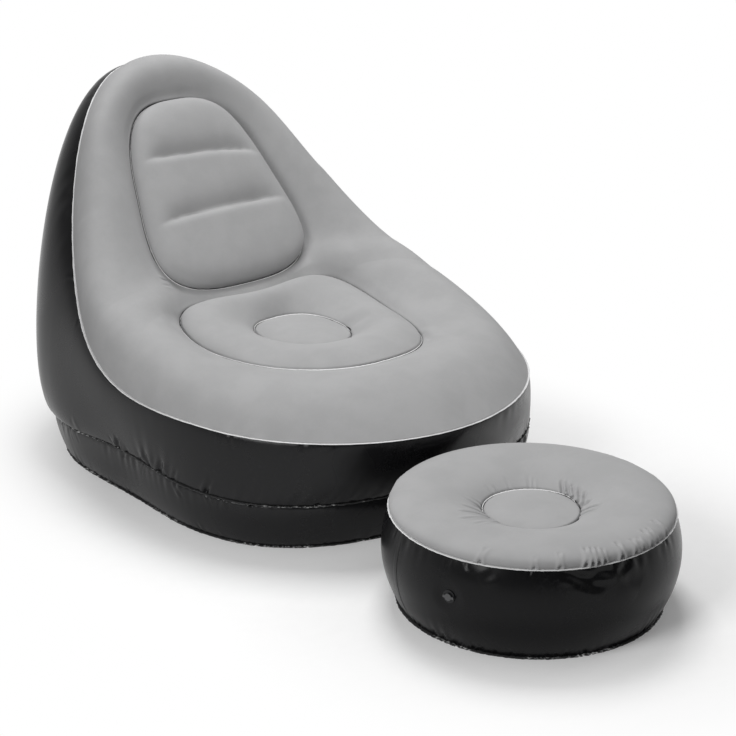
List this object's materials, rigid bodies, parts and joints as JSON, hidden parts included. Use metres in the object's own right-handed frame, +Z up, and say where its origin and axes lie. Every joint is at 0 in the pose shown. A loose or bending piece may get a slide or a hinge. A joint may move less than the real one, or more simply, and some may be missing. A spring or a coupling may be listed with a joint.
{
  "type": "inflatable chair",
  "caption": "Inflatable teardrop lounge chair with a pleated back, sunken seat, grey flocked top and black wall, with its round inflatable footstool and plugged air valves.",
  "frame": {"origin": "middle of the chair's base on the floor", "axes": "+Z up, +Y from the front lip to the back, +X to the sitter's left"},
  "size_m": [0.7978, 1.5801, 0.7146],
  "materials": {
    "grey_flock": "flocked",
    "black_vinyl": "semi-gloss",
    "pale_weld": "pressed weld",
    "clear_web": "translucent",
    "valve_black": "moulded",
    "valve_grey": "moulded"
  },
  "bodies": {
    "chair_shell": {"chair_back_panel": "grey_flock", "chair_back_web": "clear_web", "chair_back_weld": "pale_weld", "chair_base_deck": "clear_web", "chair_base_tie_front": "clear_web", "chair_base_tie_middle": "clear_web", "chair_base_tie_rear": "clear_web", "chair_base_wall": "black_vinyl", "chair_bottom_seam": "pale_weld", "chair_bottom_sheet": "black_vinyl", "chair_centre_web": "clear_web", "chair_centre_weld": "pale_weld", "chair_collar": "grey_flock", "chair_pleat_web_lower": "clear_web", "chair_pleat_web_upper": "clear_web", "chair_seat_centre": "grey_flock", "chair_seat_ring": "grey_flock", "chair_seat_web": "clear_web", "chair_seat_weld": "pale_weld", "chair_side_wall": "black_vinyl", "chair_top_seam": "pale_weld", "chair_valve_base": "valve_black", "chair_waist_seam": "pale_weld"},
    "chair_bung": {"chair_valve_bung": "valve_black"},
    "chair_stopper": {"chair_valve_stopper": "valve_grey"},
    "chair_flap": {"chair_valve_flap": "clear_web"},
    "footstool_shell": {"footstool_bottom_seam": "pale_weld", "footstool_bottom_sheet": "black_vinyl", "footstool_centre": "grey_flock", "footstool_centre_web": "clear_web", "footstool_centre_weld": "pale_weld", "footstool_top": "grey_flock", "footstool_top_seam": "pale_weld", "footstool_valve_collar": "valve_black", "footstool_wall": "black_vinyl", "footstool_wall_lap": "black_vinyl"},
    "footstool_stem": {"footstool_valve_stem": "valve_black"},
    "footstool_stopper": {"footstool_valve_stopper": "valve_grey"},
    "footstool_flap": {"footstool_valve_flap": "clear_web"}
  },
  "joints": [
    {"name": "chair_bung_pull", "type": "slide", "parent": "chair_shell", "child": "chair_bung", "axis": [0, 0.9346, -0.3558], "range_m": [0, 0.024]},
    {"name": "chair_stopper_hinge", "type": "hinge", "parent": "chair_bung", "child": "chair_stopper", "pos_m": [-0.0113, 0.52939, 0.17217], "axis": [0, 0.3558, 0.9346], "range_deg": [0, 150]},
    {"name": "chair_flap_hinge", "type": "hinge", "parent": "chair_bung", "child": "chair_flap", "pos_m": [-0.0077, 0.50743, 0.18054], "axis": [0, -0.3558, -0.9346], "range_deg": [0, 60], "stiffness_Nm_per_rad": 0.0002},
    {"name": "footstool_floor_slide", "type": "slide", "parent": "chair_shell", "child": "footstool_shell", "axis": [0, -1, 0], "range_m": [0, 0.5]},
    {"name": "footstool_stem_pull", "type": "slide", "parent": "footstool_shell", "child": "footstool_stem", "axis": [-0.9658, -0.2588, 0.0184], "range_m": [0, 0.012]},
    {"name": "footstool_stopper_hinge", "type": "hinge", "parent": "footstool_stem", "child": "footstool_stopper", "pos_m": [-0.31307, -0.82033, 0.1001], "axis": [0.0178, 0.0048, 0.9998], "range_deg": [0, 150]},
    {"name": "footstool_flap_hinge", "type": "hinge", "parent": "footstool_stem", "child": "footstool_flap", "pos_m": [-0.29294, -0.81048, 0.09969], "axis": [-0.0178, -0.0048, -0.9998], "range_deg": [0, 60], "stiffness_Nm_per_rad": 0.0002}
  ]
}
